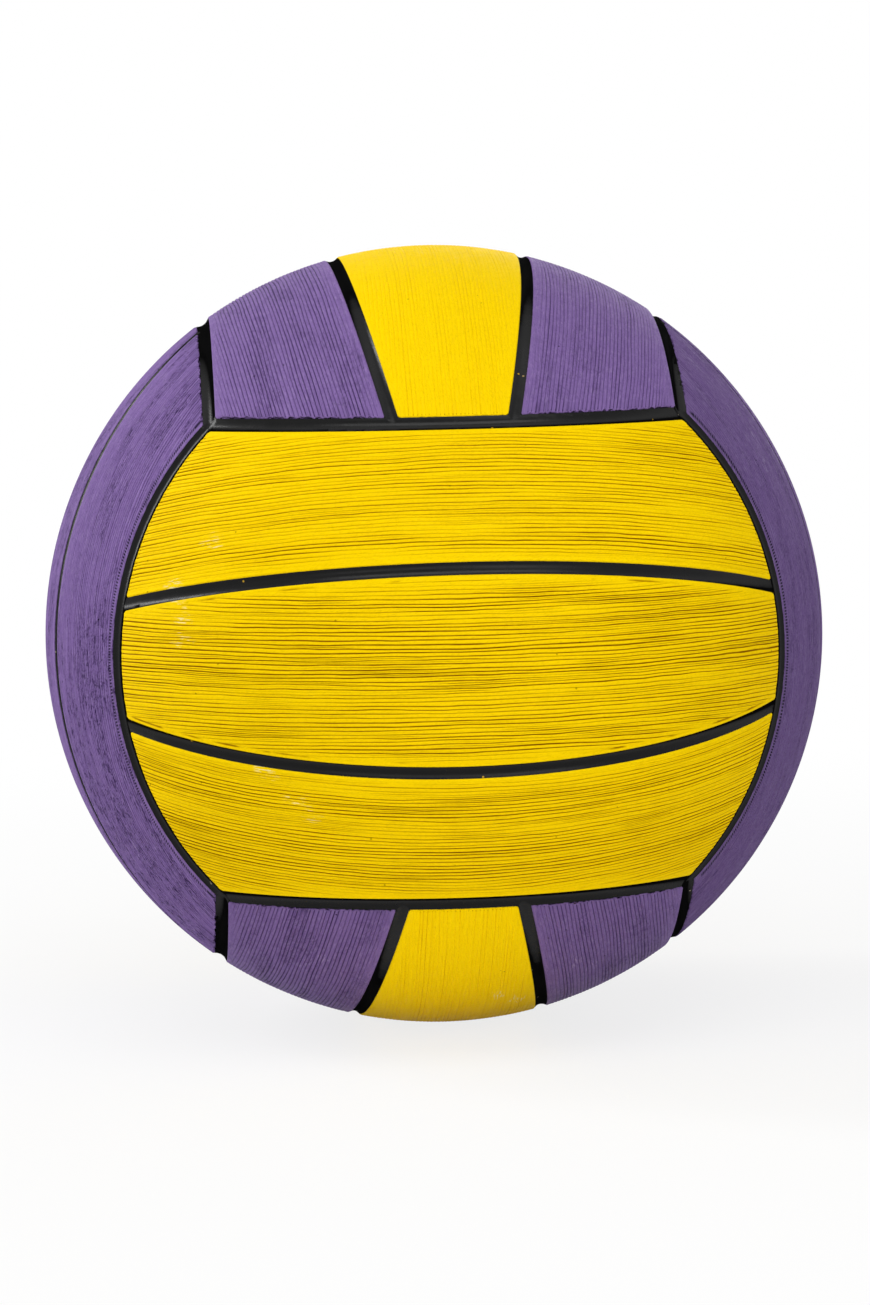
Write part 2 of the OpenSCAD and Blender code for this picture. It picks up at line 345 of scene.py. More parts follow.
def line_grooves(line, station, inside, strength, even, seed):
    """Depth of the lines as a share of the groove depth: LINE_FALL by the line's strength, which
    changes along it, plus SECOND_FALL where the second line shows. Both fade near the strip's long
    sides, of which inside is the distance in millimetres."""
    count = len(line) // len(LINE_AT)
    strength = 1 + (strength - 1) * (1 - even)
    patchy = layered("patchy", line, station, seed) * (1 - 0.6 * even)
    groove = np.tile(LINE_FALL, count)[:, None] * np.clip(strength * (1 + patchy), 0.2, 1.7)
    second = np.clip(layered("second", line, station, seed) + 0.15, 0, 1)
    groove += np.tile(SECOND_FALL, count)[:, None] * (0.85 - 0.5 * even) * second
    fade = 3.6 + layered("fade", line, station, seed)
    groove = groove * smooth_step(0.95, 1.7, inside)
    return groove * (0.60 + 0.40 * smooth_step(0, 1, (inside - 1.5) / fade))


def lip_creases(to_side, to_end, at_inner, station, seed):
    """Short shallow folds along the long lips, more of them towards the ends, 0 to 1. Distances are
    in millimetres."""
    fold = layered("crease", np.where(at_inner, 0.0, 50.0), station, seed)
    fold = np.clip(fold - 0.15 + 0.6 * smooth_step(22, 48, np.abs(station)), 0, 1)
    return fold * np.exp(-((to_side - 1.05) / 0.24) ** 2) * smooth_step(1.2, 3.0, to_end)


def scuffs_and_highlights_mask(across, station, scuffs_and_highlights, seed):
    """1 in a few small places that are worn pale by scuffing, which on the front panels also paints
    highlights on the ridges, set by chance where none are given, and 0 outside them."""
    if not scuffs_and_highlights:
        chance = np.random.default_rng(seed + 13).uniform((3, 40), (16, 75))
        scuffs_and_highlights = (chance, chance + (5.0, -6.0))
    near = sum(np.exp(-((across - u) / 2.3) ** 2 - ((station - v) / 4.2) ** 2) for u, v in scuffs_and_highlights)
    return smooth_step(0.45, 0.8, near + layered("rub", across, station, seed) - 0.1)


def drawn_corners(to_side, to_end, corner):
    """How far points move in from the side and from the end, so that the rings of the square
    between both become quarter circles. All in millimetres."""
    u, v = 1 - np.clip(to_side / corner, 0, 1), 1 - np.clip(to_end / corner, 0, 1)
    drawn = np.maximum(u, v) / np.maximum(np.hypot(u, v), 1e-9)
    both = (u > 0) & (v > 0)
    return np.where(both, u * (1 - drawn) * corner, 0), np.where(both, v * (1 - drawn) * corner, 0)


def open_hole(way, height, hole, radius):
    """Moves the points inside the valve's hole out to its rim and rounds the panel's edge there.
    Gives the directions, the heights and which points stay."""
    off = np.hypot(way[..., 0], way[..., 1])
    reach = hole / 2 / radius
    keep = off > reach
    way[..., :2] *= np.where(keep, 1.0, reach / np.maximum(off, 1e-6))[..., None]
    way[..., 2] = np.sqrt(1 - way[..., 0] ** 2 - way[..., 1] ** 2)
    to_hole = np.maximum(off - reach, 0) * radius * 1000
    return way, height - edge_fall(to_hole) * 0.6 / 1000, keep


def strip_rows(shape, pitch, columns, station, even, seed):
    """The rows of points across a strip: the rounded edge's along its inner side, LINE_AT's for each
    line, which strays a little, and the edge's along its outer side. A line's rows that lie beyond
    a side collapse onto its border row. Gives each grid place's angle a, the row it stands for and
    its distances from both sides in millimetres, then the slice of the rows on lines, their line's
    number and how far each is on the way to the next line."""
    inner, outer = shape.sides(columns)
    border = EDGE_AT / 1000 / shape.radius
    lines = np.arange(math.floor(inner.min() / pitch), math.ceil(outer.max() / pitch) + 1)
    line = np.repeat(lines, len(LINE_AT))[:, None]
    phase = np.tile(LINE_AT, len(lines))[:, None]

    def stray(number):
        """How far a line strays from its place, in line pitches."""
        return (layered("stray_together", number, station, seed)
                + (1 - 0.8 * even) * layered("stray_alone", number, station, seed))

    wanted = (line + phase + stray(line) * (1 - phase) + stray(line + 1) * phase) * pitch
    low, high = inner + border[-1], outer - border[-1]
    sliver = SLIVER / 1000 / shape.radius
    before, after = wanted < low + sliver, wanted > high - sliver
    a = np.concatenate([inner + border[:, None], np.clip(wanted, low, high),
                        (outer - border[:, None])[::-1]])
    on_lines = slice(len(border), len(border) + len(line))
    rows = np.arange(len(a))[:, None] * np.ones(len(columns["side"]), int)
    rows[on_lines] = np.where(before, on_lines.start - 1,
                              np.where(after, on_lines.stop, rows[on_lines]))
    to_inner, to_outer = (a - inner) * shape.radius * 1000, (outer - a) * shape.radius * 1000
    return a, rows, to_inner, to_outer, on_lines, line, phase


def panel_surface(sizes, strip, seed, ragged, finish, scuffs_and_highlights, hole):
    """The points of a panel's outside and foot on one grid, the row that each grid place stands
    for, and what the material reads there. Height is the ball's radius less the fall of the rounded
    edge, the lines, tears, creases and pits, and a slow swell."""
    line_level, dust_and_shade_level, rough_level, crease_level, pit_level, tone, even = finish
    shape = Strip(sizes, strip)
    radius = shape.radius
    length = 2 * float(shape.end_angle(np.array(0.0))) * radius
    beside = np.arange(1, HOLE_COLUMNS + 1) * HOLE_STEP / 1000
    columns = columns_of(length, sizes.column_step, np.concatenate([EDGE_AT, END_AT]) / 1000,
                         () if hole is None else 1 - beside / (length / 2))
    station = (columns["side"] * (1 - columns["share"]) * (length / 2) * 1000)[None, :]
    a, rows, to_inner, to_outer, on_lines, line, phase = strip_rows(
        shape, sizes.line_pitch / radius, columns, station, even, seed)
    line_count = len(line) // len(LINE_AT)
    across = a * radius * 1000
    to_side, at_inner = np.minimum(to_inner, to_outer), to_inner < to_outer
    angle, to_end = shape.along(a, columns)
    to_end = to_end * 1000
    rng = np.random.default_rng(seed + 2)
    strength = rng.uniform(*STRENGTH, line_count).repeat(len(LINE_AT))[:, None]
    depth = np.zeros_like(a)
    depth[on_lines] = line_grooves(line, station, to_side[on_lines], strength, even, seed)
    # Rough patches: where the rubber is scuffed, its lines are broken and pitted
    patch = layered("rough", across, station, seed) + 0.25
    rough = smooth_step(0.55 - 0.75 * rough_level, 1.15 - 0.45 * rough_level, patch)
    tear = np.maximum(layered("tear", across, station, seed) - 0.25, 0) * rough
    tear = tear * smooth_step(1.5, 3.0, to_side) * (0.25 + 0.75 * rough_level)

    # The ends are ragged: short teeth about as wide as a line, and a slower wander
    bite = np.zeros(len(a))
    place = (line + phase)[:, 0] * sizes.line_pitch * 1000
    bite[on_lines] = np.clip(0.42 + layered("teeth", place, 0.5, seed), 0, 1.2) * ragged
    near = 1 - smooth_step(0.3, 1.6, to_end)
    angle = angle - columns["side"] * (bite[:, None] * near / 1000) / (radius * np.cos(a))
    pull_side, pull_end = drawn_corners(to_side, to_end, sizes.corner_radius * 1000)
    a_shown = a + np.where(at_inner, 1, -1) * pull_side / 1000 / radius
    angle = angle - columns["side"] * pull_end / 1000 / radius / np.cos(a)

    side_fall, end_fall = edge_fall(to_side), edge_fall(to_end)
    edge = (np.maximum(side_fall, end_fall) + np.hypot(side_fall, end_fall)) / 2
    # Everything is shallower close to the ends, where the lines end in small pits
    toward_end = 1 - 0.55 * (1 - smooth_step(0.2, 0.9, to_end))
    fold = lip_creases(to_side, to_end, at_inner, station, seed) * crease_level
    sunk = sizes.groove_depth * 1000 * depth * line_level + TEAR_DEPTH * tear + CREASE_DEPTH * fold
    sunk = sunk * toward_end
    chance = rng.uniform(0, 1, line_count).repeat(len(LINE_AT))[:, None]
    pits = np.zeros_like(a)
    pits[on_lines] = np.tile(LINE_FALL, line_count)[:, None] * (0.2 + 0.8 * chance)
    pits = PIT_DEPTH * np.exp(-((to_end - 0.62) / 0.22) ** 2) * pits * (to_side > 1.2)
    swell = 0.02 + layered("swell", across, station, seed)
    height = radius - (np.minimum(edge + sunk + pits, DEEPEST) + swell * (edge < 0.3)) / 1000
    way = shape.directions(a_shown, angle)
    keep = np.ones(a.shape, bool)
    if hole is not None:
        way, height, keep = open_hole(way, height, hole, radius)
    return {
        "outside": way * height[..., None], "foot": way * (radius - sizes.panel_depth),
        "rows": rows, "keep": keep, "inward": strip < 0,
        # Dust with painted shade: grooves, creases and the pits at the ends are painted darker the
        # deeper they are
        "groove": np.minimum((depth * dust_and_shade_level + fold) * toward_end + pits * 3.0, 1.6),
        "rough": rough * rough_level, "rub": scuffs_and_highlights_mask(across, station, scuffs_and_highlights, seed),
        "pits": pit_level * np.exp(-((to_outer - 1.2) / 0.48) ** 2) * (strip != 0),
        "along": np.broadcast_to(station, a.shape), "across": across,
        # Painted light and shade: the whole panel is made lighter or darker for the light that falls
        # on it
        "tone": np.full_like(a, tone),
    }


def grid_faces(rows, columns):
    """The four grid places of each cell, turning left seen with rows to the right, columns up."""
    r, c = np.meshgrid(np.arange(rows - 1), np.arange(columns - 1), indexing="ij")
    r, c = r.ravel(), c.ravel()
    corners = [(r, c), (r + 1, c), (r + 1, c + 1), (r, c + 1)]
    return np.stack([r * columns + c for r, c in corners], 1)


def tidy_faces(faces):
    """Faces of four vertex numbers with repeated ones removed: (corner numbers in a row, corners a
    face, the place of each corner in faces). Faces with under three different corners go."""
    same = faces == np.roll(faces, -1, 1)
    crossed = (faces[:, 0] == faces[:, 2]) | (faces[:, 1] == faces[:, 3])
    whole = (same.sum(1) <= 1) & ~crossed
    use = ~same & whole[:, None]
    return faces[use], use.sum(1)[whole], np.flatnonzero(use.ravel())


def band_map(band, rows, columns):
    """The bake map of a grid that fills a band of the square."""
    u, v = np.meshgrid(np.linspace(*MAP_ACROSS, columns), np.linspace(*band, rows))
    return np.stack([u.ravel(), v.ravel()], 1)


def wall_map(count, number):
    """The bake map of one loop of that many walls, in the band for the loop's number."""
    edge = np.linspace(*MAP_ACROSS, count + 1)
    low, high = (np.full(count, level + NEXT_WALL * number) for level in WALL_BAND)
    corners = ((edge[:-1], low), (edge[1:], low), (edge[1:], high), (edge[:-1], high))
    return np.stack([np.stack(corner, 1) for corner in corners], 1)


def hole_loop(cells, rim, total):
    """The sides of those cells that no other cell shares, apart from the sides along the rim."""
    sides = np.concatenate([cells[:, [k, (k + 1) % 4]] for k in range(4)])
    key = sides.min(1) * total + sides.max(1)
    _, first, count = np.unique(key, return_index=True, return_counts=True)
    lone = sides[first[count == 1]]
    return lone[~np.isin(lone, rim).all(1)]


def new_mesh(name, points, corners, sizes, maps, values):
    """A smooth mesh of those points: corners and maps hold the vertex number and the bake map of
    each face's corners in turn, sizes how many corners a face has, and values what the materials
    read at the points."""
    mesh = bpy.data.meshes.new(name)
    mesh.vertices.add(len(points))
    mesh.vertices.foreach_set("co", points.astype(np.float32).ravel())
    mesh.loops.add(len(corners))
    mesh.loops.foreach_set("vertex_index", corners.astype(np.int32))
    mesh.polygons.add(len(sizes))
    starts = np.concatenate([[0], np.cumsum(sizes)[:-1]])
    mesh.polygons.foreach_set("loop_start", starts.astype(np.int32))
    uv = mesh.uv_layers.new(name="OFBake")
    uv.uv.foreach_set("vector", maps.astype(np.float32).ravel())
    mesh.update(calc_edges=True)
    mesh.shade_smooth()
    for key, numbers in values.items():
        attribute = mesh.attributes.new(key, "FLOAT", "POINT")
        attribute.data.foreach_set("value", numbers.astype(np.float32))
    return mesh


def solid_from_grid(name, surface):
    """A closed mesh: the outside, the foot with few rows, and walls between them round the rim and
    round any hole. Grid places that stand for the same row share a vertex."""
    rows, keep = surface["rows"], surface["keep"]
    row_count, column_count = rows.shape
    total, holed = rows.size, not keep.all()
    column = np.arange(column_count)[None, :]
    top = (rows * column_count + column).ravel()
    nearest = np.round(np.arange(row_count) / FOOT_EVERY).astype(int) * FOOT_EVERY
    fewer = np.minimum(nearest, row_count - 1)
    fewer[-1] = row_count - 1
    if holed:
        hit = np.flatnonzero((~keep).any(1))
        whole = np.arange(hit[0] - BESIDE_HOLE, hit[-1] + BESIDE_HOLE + 1)
        fewer[whole] = whole
    foot_rows = np.take_along_axis(rows, fewer[:, None] * np.ones(column_count, int), 0)
    bottom = (total + foot_rows * column_count + column).ravel()
    cells = grid_faces(row_count, column_count)
    cells = cells[keep.ravel()[cells].any(1)]
    place = np.arange(total).reshape(row_count, column_count)
    rim = np.concatenate([place[::-1, 0], place[0, 1:], place[1:, -1], place[-1, -2::-1]])
    loops = [np.stack([rim[:-1], rim[1:]], 1)]
    if holed:
        loops.append(hole_loop(cells, rim, total))
    walls = [np.stack([bottom[start], bottom[end], top[end], top[start]], 1)
             for start, end in (loop.T for loop in loops)]
    faces = np.concatenate([top[cells], bottom[cells][:, ::-1], *walls])
    maps = np.concatenate([band_map(OUTSIDE_BAND, row_count, column_count)[cells],
                           band_map(FOOT_BAND, row_count, column_count)[cells][:, ::-1],
                           *(wall_map(len(loop), number) for number, loop in enumerate(loops))])
    if surface["inward"]:
        faces, maps = faces[:, ::-1], maps[:, ::-1]
    corners, sizes, places = tidy_faces(faces)
    used, corners = np.unique(corners, return_inverse=True)
    points = np.concatenate([surface["outside"].reshape(-1, 3), surface["foot"].reshape(-1, 3)])
    values = {key: np.concatenate([surface[key].ravel(), surface[key].ravel() * share])[used]
              for key, share in ATTRIBUTES.items()}
    return new_mesh(name, points[used], corners, sizes, maps.reshape(-1, 2)[places], values)


def turned(mesh, matrix):
    """Carries a mesh made in the top face's frame to its place."""
    points = np.zeros(len(mesh.vertices) * 3, np.float32)
    mesh.vertices.foreach_get("co", points)
    points = points.reshape(-1, 3) @ matrix.T.astype(np.float32)
    mesh.vertices.foreach_set("co", points.ravel())
    mesh.update()
    return mesh


def add_piece(name, mesh, material, nodes):
    """Puts a finished mesh in the scene, in the place of those CAD nodes."""
    piece = bpy.data.objects.new(name, mesh)
    bpy.context.scene.collection.objects.link(piece)
    mesh.materials.append(material)
    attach(piece, "root")
    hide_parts(*nodes)


class Nodes:
    """Short ways to lay out the nodes of a material or of the world."""

    def __init__(self, owner):
        owner.use_nodes = True
        self.owner, self.tree = owner, owner.node_tree
        self.shader = self.tree.nodes.get("Principled BSDF")

    def add(self, kind, inputs=(), **settings):
        node = self.tree.nodes.new(kind)
        for key, value in settings.items():
            setattr(node, key, value)
        for key, value in dict(inputs).items():
            self.set(node.inputs[key], value)
        return node

    def set(self, socket, value):
        if isinstance(value, bpy.types.NodeSocket):
            self.tree.links.new(value, socket)
        else:
            socket.default_value = value

    def attribute(self, name):
        return self.add("ShaderNodeAttribute", attribute_name=name).outputs["Fac"]

    def math(self, operation, *values):
        node = self.add("ShaderNodeMath", operation=operation)
        for socket, value in zip(node.inputs, values):
            self.set(socket, value)
        return node.outputs[0]

    def times(self, first, second):
        return self.math("MULTIPLY", first, second)

    def ramp(self, value, low, high, start=0.0, end=1.0):
        """Smooth step of a value between low and high, then to start and end."""
        node = self.add("ShaderNodeMapRange", interpolation_type="SMOOTHSTEP")
        for key, number in (("Value", value), ("From Min", low), ("From Max", high),
                            ("To Min", start), ("To Max", end)):
            self.set(node.inputs[key], number)
        return node.outputs[0]

    def mix(self, factor, first, second, blend="MIX"):
        node = self.add("ShaderNodeMix", data_type="RGBA", blend_type=blend)
        colours = [socket for socket in node.inputs if socket.type == "RGBA"]
        self.set(node.inputs["Factor"], factor)
        self.set(colours[0], first)
        self.set(colours[1], second)
        return next(socket for socket in node.outputs if socket.type == "RGBA")

    def noise(self, where, scale, detail=2.0, roughness=0.5):
        node = self.add("ShaderNodeTexNoise", {"Vector": where, "Scale": scale, "Detail": detail,
                                               "Roughness": roughness})
        return node.outputs["Fac"]

    def bump(self, height, distance, strength):
        node = self.add("ShaderNodeBump", {"Height": height, "Distance": distance,
                                           "Strength": strength})
        return node.outputs["Normal"]

    def dots(self, where, scale, rim, chance):
        """Dots about one to a cell of space: 1 inside a dot and 0 outside it, and a second random
        number for each. rim and chance are the ranges over which a dot and its chance fade."""
        cell = self.add("ShaderNodeTexVoronoi", {"Vector": where, "Scale": scale}).outputs
        drawn = self.add("ShaderNodeSeparateColor", {"Color": cell["Color"]}).outputs
        inside = self.ramp(cell["Distance"], *rim, 1.0, 0.0)
        return self.times(inside, self.ramp(drawn[0], *chance)), drawn[1]

    def place(self):
        return self.add("ShaderNodeTexCoord").outputs["Object"]

    def material(self, **inputs):
        """Sets the shader's inputs, named with a _ for each space, and gives the material."""
        for key, value in inputs.items():
            self.set(self.shader.inputs[key.replace("_", " ")], value)
        return self.owner

    def background_rays(self):
        """1 for the rays that see the white background: the camera's, and gloss and glass."""
        ray = self.add("ShaderNodeLightPath").outputs
        seen = self.math("MAXIMUM", ray["Is Camera Ray"], ray["Is Glossy Ray"])
        return self.math("MAXIMUM", seen, ray["Is Transmission Ray"])


def opaque(colour):
    return (*colour, 1.0)


def panel_rubber(name, ridge, groove, rubbed_and_sheen, streak, painted_sheen, grainy, dots, roughness, gloss):
    """Rubber of a panel: soft streaks along the lines, pale strokes along them that paint a sheen,
    fine slanting grain, dust with painted shade in the lines, dark specks where it is rough, pale
    streaks where it is worn, which on the front panels also paint highlights, pits inside the outer
    lip painted dark as shade, and a few pores. The first four numbers after the colours are how much
    there is of the streaks, the painted sheen, the grain and the pores."""
    n = Nodes(bpy.data.materials.new(name))
    where = n.place()
    sunk, rough = n.attribute("groove"), n.attribute("rough")
    along, across = n.attribute("along"), n.attribute("across")

    def laid(length, slant):
        """Places on the strip in millimetres, drawn out to a length along it and leaning."""
        lean = n.math("MULTIPLY_ADD", across, slant, n.times(along, 1 / length))
        return n.add("ShaderNodeCombineXYZ", {"X": lean, "Y": across}).outputs[0]

    streaks = n.noise(laid(8.0, 0.0), 1.1, 4.0, 0.6)
    dashes = n.noise(laid(9.0, 0.1), 1.2, 3.0, 0.6)
    scratch = n.noise(laid(6.0, 0.1), 2.2, 3.0, 0.6)
    grain = n.noise(laid(1.7, 0.9), 2.3, 3.0, 0.65)
    patches = n.noise(where, 38.0, 3.0, 0.55)
    cloud = n.noise(where, 420.0, 3.0, 0.65)
    strokes = n.noise(laid(9.0, 0.0), 2.8, 3.0, 0.6)
    body, dark, deepest = opaque(ridge), opaque(groove), opaque([c * 0.3 for c in groove])
    # Darker: soft streaks, patches; paler: strokes that paint a sheen along the ridges; darker:
    # mottle, grain
    soft = n.times(n.ramp(streaks, 0.34, 0.74, 0.0, streak), n.ramp(rough, 0.0, 0.6, 0.4, 1.0))
    body = n.mix(soft, body, dark)
    body = n.mix(n.ramp(patches, 0.4, 0.75, 0.0, 0.12 * streak), body, dark)
    body = n.mix(n.ramp(strokes, 0.48, 0.72, 0.0, painted_sheen), body, opaque(rubbed_and_sheen))
    body = n.mix(n.ramp(cloud, 0.46, 0.72, 0.0, 0.4 * grainy ** 1.7), body, dark)
    coarse = n.times(n.ramp(grain, 0.44, 0.76, 0.0, grainy), n.ramp(rough, 0.0, 0.7, 0.9, 1.7))
    body = n.mix(coarse, body, dark)
    # Dust with painted shade, darker the deeper a groove, crease or pit is
    dust = n.times(n.ramp(sunk, 0.10, 0.92), n.ramp(dashes, 0.34, 0.60, 0.72, 1.0))
    body = n.mix(dust, body, dark)
    specks = n.ramp(n.math("ADD", scratch, n.times(cloud, 0.4)), 0.74, 0.86, 0.0,
                    min(1.0, 2.2 * streak))
    torn = n.times(specks, rough)
    body = n.mix(torn, body, dark)
    # Scuffs leave the lines themselves dark
    # Scuffing leaves the lines themselves dark; on the front panels the pale places also paint
    # highlights on the ridges
    pale = n.times(n.ramp(sunk, 0.05, 0.4, 1.0, 0.0), n.ramp(strokes, 0.53, 0.58))
    pale = n.times(n.times(pale, n.attribute("rub")), 0.85)
    body = n.mix(pale, body, opaque(rubbed_and_sheen))
    # Small pits just inside the outer lip, a little over a millimetre apart, painted dark as the
    # shade in them
    beat = n.math("SINE", n.math("MULTIPLY_ADD", along, 5.8, n.times(patches, 30.0)))
    pit = n.times(n.attribute("pits"), n.ramp(beat, -0.5, 0.4))
    body = n.mix(pit, body, deepest)
    # Here and there a dot as small as a pore
    pore = n.dots(where, 170.0, (0.035, 0.060), (0.5, 0.55))[0]
    body = n.mix(n.times(pore, dots), body, deepest)
    # Painted light and shade: the whole panel is made lighter or darker for the light that falls on
    # it
    body = n.mix(1.0, body, n.attribute("tone"), "MULTIPLY")
    height = n.math("ADD", n.times(grain, -1.0), n.times(cloud, 0.6))
    height = n.math("SUBTRACT", height, n.times(torn, 2.2))
    height = n.math("SUBTRACT", height, n.times(pit, 2.4))
    return n.material(
        Base_Color=body, Specular_IOR_Level=gloss, Normal=n.bump(height, 0.00011, 1.0),
        Roughness=n.ramp(cloud, 0.25, 0.75, roughness - 0.06, roughness + 0.08))


def channel_rubber(name, colour, fleck, crumb):
    """Satin black rubber with fine grain, a few specks of dust and a few crumbs. Where it is seen
    edge on, it has less gloss, since a channel's walls see one another there and not the room."""
    n = Nodes(bpy.data.materials.new(name))
    where = n.place()
    grain = n.noise(where, 1500.0, 3.0, 0.6)
    cloud = n.noise(where, 160.0, 4.0, 0.6)
    dust, kind = n.dots(where, 210.0, (0.045, 0.075), (0.50, 0.60))
    speck = n.mix(n.ramp(kind, 0.45, 0.55), opaque(fleck), opaque(crumb))
    body = n.mix(n.ramp(cloud, 0.3, 0.75, 0.0, 0.5), opaque(colour),
                 opaque([c * 2.2 for c in colour]))
    edge_on = n.add("ShaderNodeLayerWeight", {"Blend": 0.5}).outputs["Facing"]
    height = n.math("ADD", n.times(grain, 0.6), n.times(dust, 1.2))
    return n.material(
        Base_Color=n.mix(n.times(dust, 0.7), body, speck),
        Roughness=n.math("ADD", n.ramp(cloud, 0.3, 0.7, 0.20, 0.30),
                         n.ramp(edge_on, 0.55, 0.90, 0.0, 0.6)),
        Specular_IOR_Level=n.ramp(edge_on, 0.34, 0.58, 0.16, 0.0006),
        Normal=n.bump(height, 0.00006, 0.7))


def thread_layer(name, colour):
    """Nylon thread wound in every direction: three sets of fine turns over one another."""
    n = Nodes(bpy.data.materials.new(name))
    where = n.place()
    height = None
    for turn in ((0.0, 0.0, 0.0), (1.0, 0.5, 0.3), (0.4, 1.3, 0.9)):
        mapped = n.add("ShaderNodeMapping", {"Vector": where, "Rotation": turn}).outputs[0]
        wave = n.add("ShaderNodeTexWave", {"Vector": mapped, "Scale": 330.0, "Distortion": 1.2,
                                           "Detail": 2.0, "Detail Scale": 0.4}).outputs["Fac"]
        height = wave if height is None else n.math("MAXIMUM", height, wave)
    # The low places between the turns are painted darker, as shade
    return n.material(
        Base_Color=n.mix(n.ramp(height, 0.3, 0.95), opaque([c * 0.45 for c in colour]),
                         opaque(colour)),
        Roughness=n.ramp(height, 0.2, 0.9, 0.75, 0.5), Normal=n.bump(height, 0.0002, 0.8))


def bladder_rubber(name, colour, dusting):
    """Butyl rubber, dull and a little uneven, with talc on it in clouds."""
    n = Nodes(bpy.data.materials.new(name))
    where = n.place()
    talc = n.noise(where, 60.0, 5.0, 0.6)
    grain = n.noise(where, 900.0, 2.0)
    return n.material(
        Base_Color=n.mix(n.ramp(talc, 0.45, 0.75, 0.0, 0.35), opaque(colour), opaque(dusting)),
        Roughness=n.ramp(talc, 0.3, 0.7, 0.5, 0.8), Normal=n.bump(grain, 0.00008, 0.6))


def dress_node(node, material):
    """Gives a CAD node that stays its material."""
    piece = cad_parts[node]
    piece.data.materials.clear()
    piece.data.materials.append(material)


def is_purple(turn, strip):
    """The left and right faces are purple, and so are the outer strips of the top and bottom."""
    return turn == 1 or (turn == 0 and strip != 0)


def make_panels(purple, material, ragged):
    """Makes the panels of one colour, with ends that ragged in millimetres."""
    sizes = bpy.context.scene.ball_sizes
    made = 0
    for face, (name, turn, flip, strips) in enumerate(FACES):
        for strip in (-1, 0, 1):
            if is_purple(turn, strip) != purple:
                continue
            node = "panel_%s_%s" % (name, strips[strip + 1])
            hole = sizes.valve_hole if node == VALVE_PANEL else None
            surface = panel_surface(sizes, strip, 100 * face + 10 * (strip + 1) + 5, ragged,
                                    FINISH[name][strip + 1], SCUFFS_AND_HIGHLIGHTS.get(node, ()), hole)
            mesh = turned(solid_from_grid(node + "_rubber", surface), face_matrix(turn, flip))
            add_piece(node + "_rubber", mesh, material, [node])
            made += 1
    if not made:
        raise RuntimeError("no panel was made")


class BALL_OT_yellow_panels(bpy.types.Operator):
    """Makes the yellow panels with their lines"""
    bl_idname = "ball.yellow_panels"
    bl_label = "Yellow panels"

    def execute(self, context):
        tint = context.scene.ball_colours
        rubber = panel_rubber("yellow_rubber", tint.yellow, tint.yellow_groove,
                              tint.yellow_rubbed_and_sheen, streak=0.12, painted_sheen=0.008, grainy=0.20,
                              dots=0.5, roughness=0.50, gloss=0.011)
        make_panels(False, rubber, ragged=0.22)
        return {"FINISHED"}


class BALL_OT_purple_panels(bpy.types.Operator):
    """Makes the purple panels with their lines and the pits along their lips"""
    bl_idname = "ball.purple_panels"
    bl_label = "Purple panels"

    def execute(self, context):
        tint = context.scene.ball_colours
        rubber = panel_rubber("purple_rubber", tint.purple, tint.purple_groove,
                              tint.purple_rubbed_and_sheen, streak=0.40, painted_sheen=0.42, grainy=0.46,
                              dots=0.9, roughness=0.58, gloss=0.05)
        make_panels(True, rubber, ragged=0.85)
        return {"FINISHED"}


class BALL_OT_channels(bpy.types.Operator):
    """Gives the black carcass with its channels its rubber"""
    bl_idname = "ball.channels"
    bl_label = "Channels"

    def execute(self, context):
        tint = context.scene.ball_colours
        rubber = channel_rubber("channel_rubber", tint.black, tint.fleck, tint.crumb)
        dress_node("carcass", rubber)
        return {"FINISHED"}


class BALL_OT_valve(bpy.types.Operator):
    """Gives the valve's housing and plug their rubber"""
    bl_idname = "ball.valve"
    bl_label = "Valve"

    def execute(self, context):
        tint = context.scene.ball_colours
        rubber = channel_rubber("valve_rubber", tint.black, tint.fleck, tint.crumb)
        for node in ("valve_housing", "valve_plug"):
            dress_node(node, rubber)
        return {"FINISHED"}


class BALL_OT_layers(bpy.types.Operator):
    """Gives the layers inside the ball their thread and rubber"""
    bl_idname = "ball.layers"
    bl_label = "Inner layers"

    def execute(self, context):
        tint = context.scene.ball_colours
        thread = thread_layer("nylon_thread", tint.thread)
        dress_node("thread_winding", thread)
        rubber = bladder_rubber("bladder_rubber", tint.bladder, tint.talc)
        dress_node("bladder", rubber)
        return {"FINISHED"}


# The way the camera looks and its right hand in the ball's frame, and its distance from the middle
# of the ball in radii, found from the outline and the channels in the photograph, and the ball's
# middle there in pixels
VIEW_AHEAD = Vector((0.07202, 0.99305, -0.09307))
VIEW_RIGHT = Vector((0.99699, -0.07436, -0.02200))
VIEW_DISTANCE = 10.41
BALL_AT = (433.9, 633.3)
# The lamps: the place of each and its width and height, in metres
LAMPS = {
    "top": ((0.0, -0.02, 1.15), (1.0, 0.3)),
    "front": ((0.0, -0.66, 1.02), (1.3, 0.5)),
    "left": ((-0.95, -0.85, 0.3), (0.7, 0.7)),
    "right": ((0.45, -1.15, 0.35), (0.6, 0.6)),
    "low": ((0.0, -1.0, -0.02), (1.2, 0.5)),
    "rim": ((-1.07, 0.43, 0.58), (0.22, 0.9)),
    "back": ((0.5, 1.1, 0.4), (0.8, 0.6)),
}
# How far from the ball's foot the floor starts to fade to plain white, and how far it has faded, in
# radii of the ball
FLOOR_FADE = (1.5, 6.0)


def soft_lamp(name, at, size, power):
    """A rectangular area lamp at a place, turned to the middle of the ball."""
    data = bpy.data.lights.new(name, "AREA")
    data.shape = "RECTANGLE"
    data.size, data.size_y = size
    data.energy = power
    lamp = bpy.data.objects.new(name, data)
    bpy.context.scene.collection.objects.link(lamp)
    lamp.location = at
    lamp.rotation_euler = (-Vector(at)).to_track_quat("-Z", "Y").to_euler()


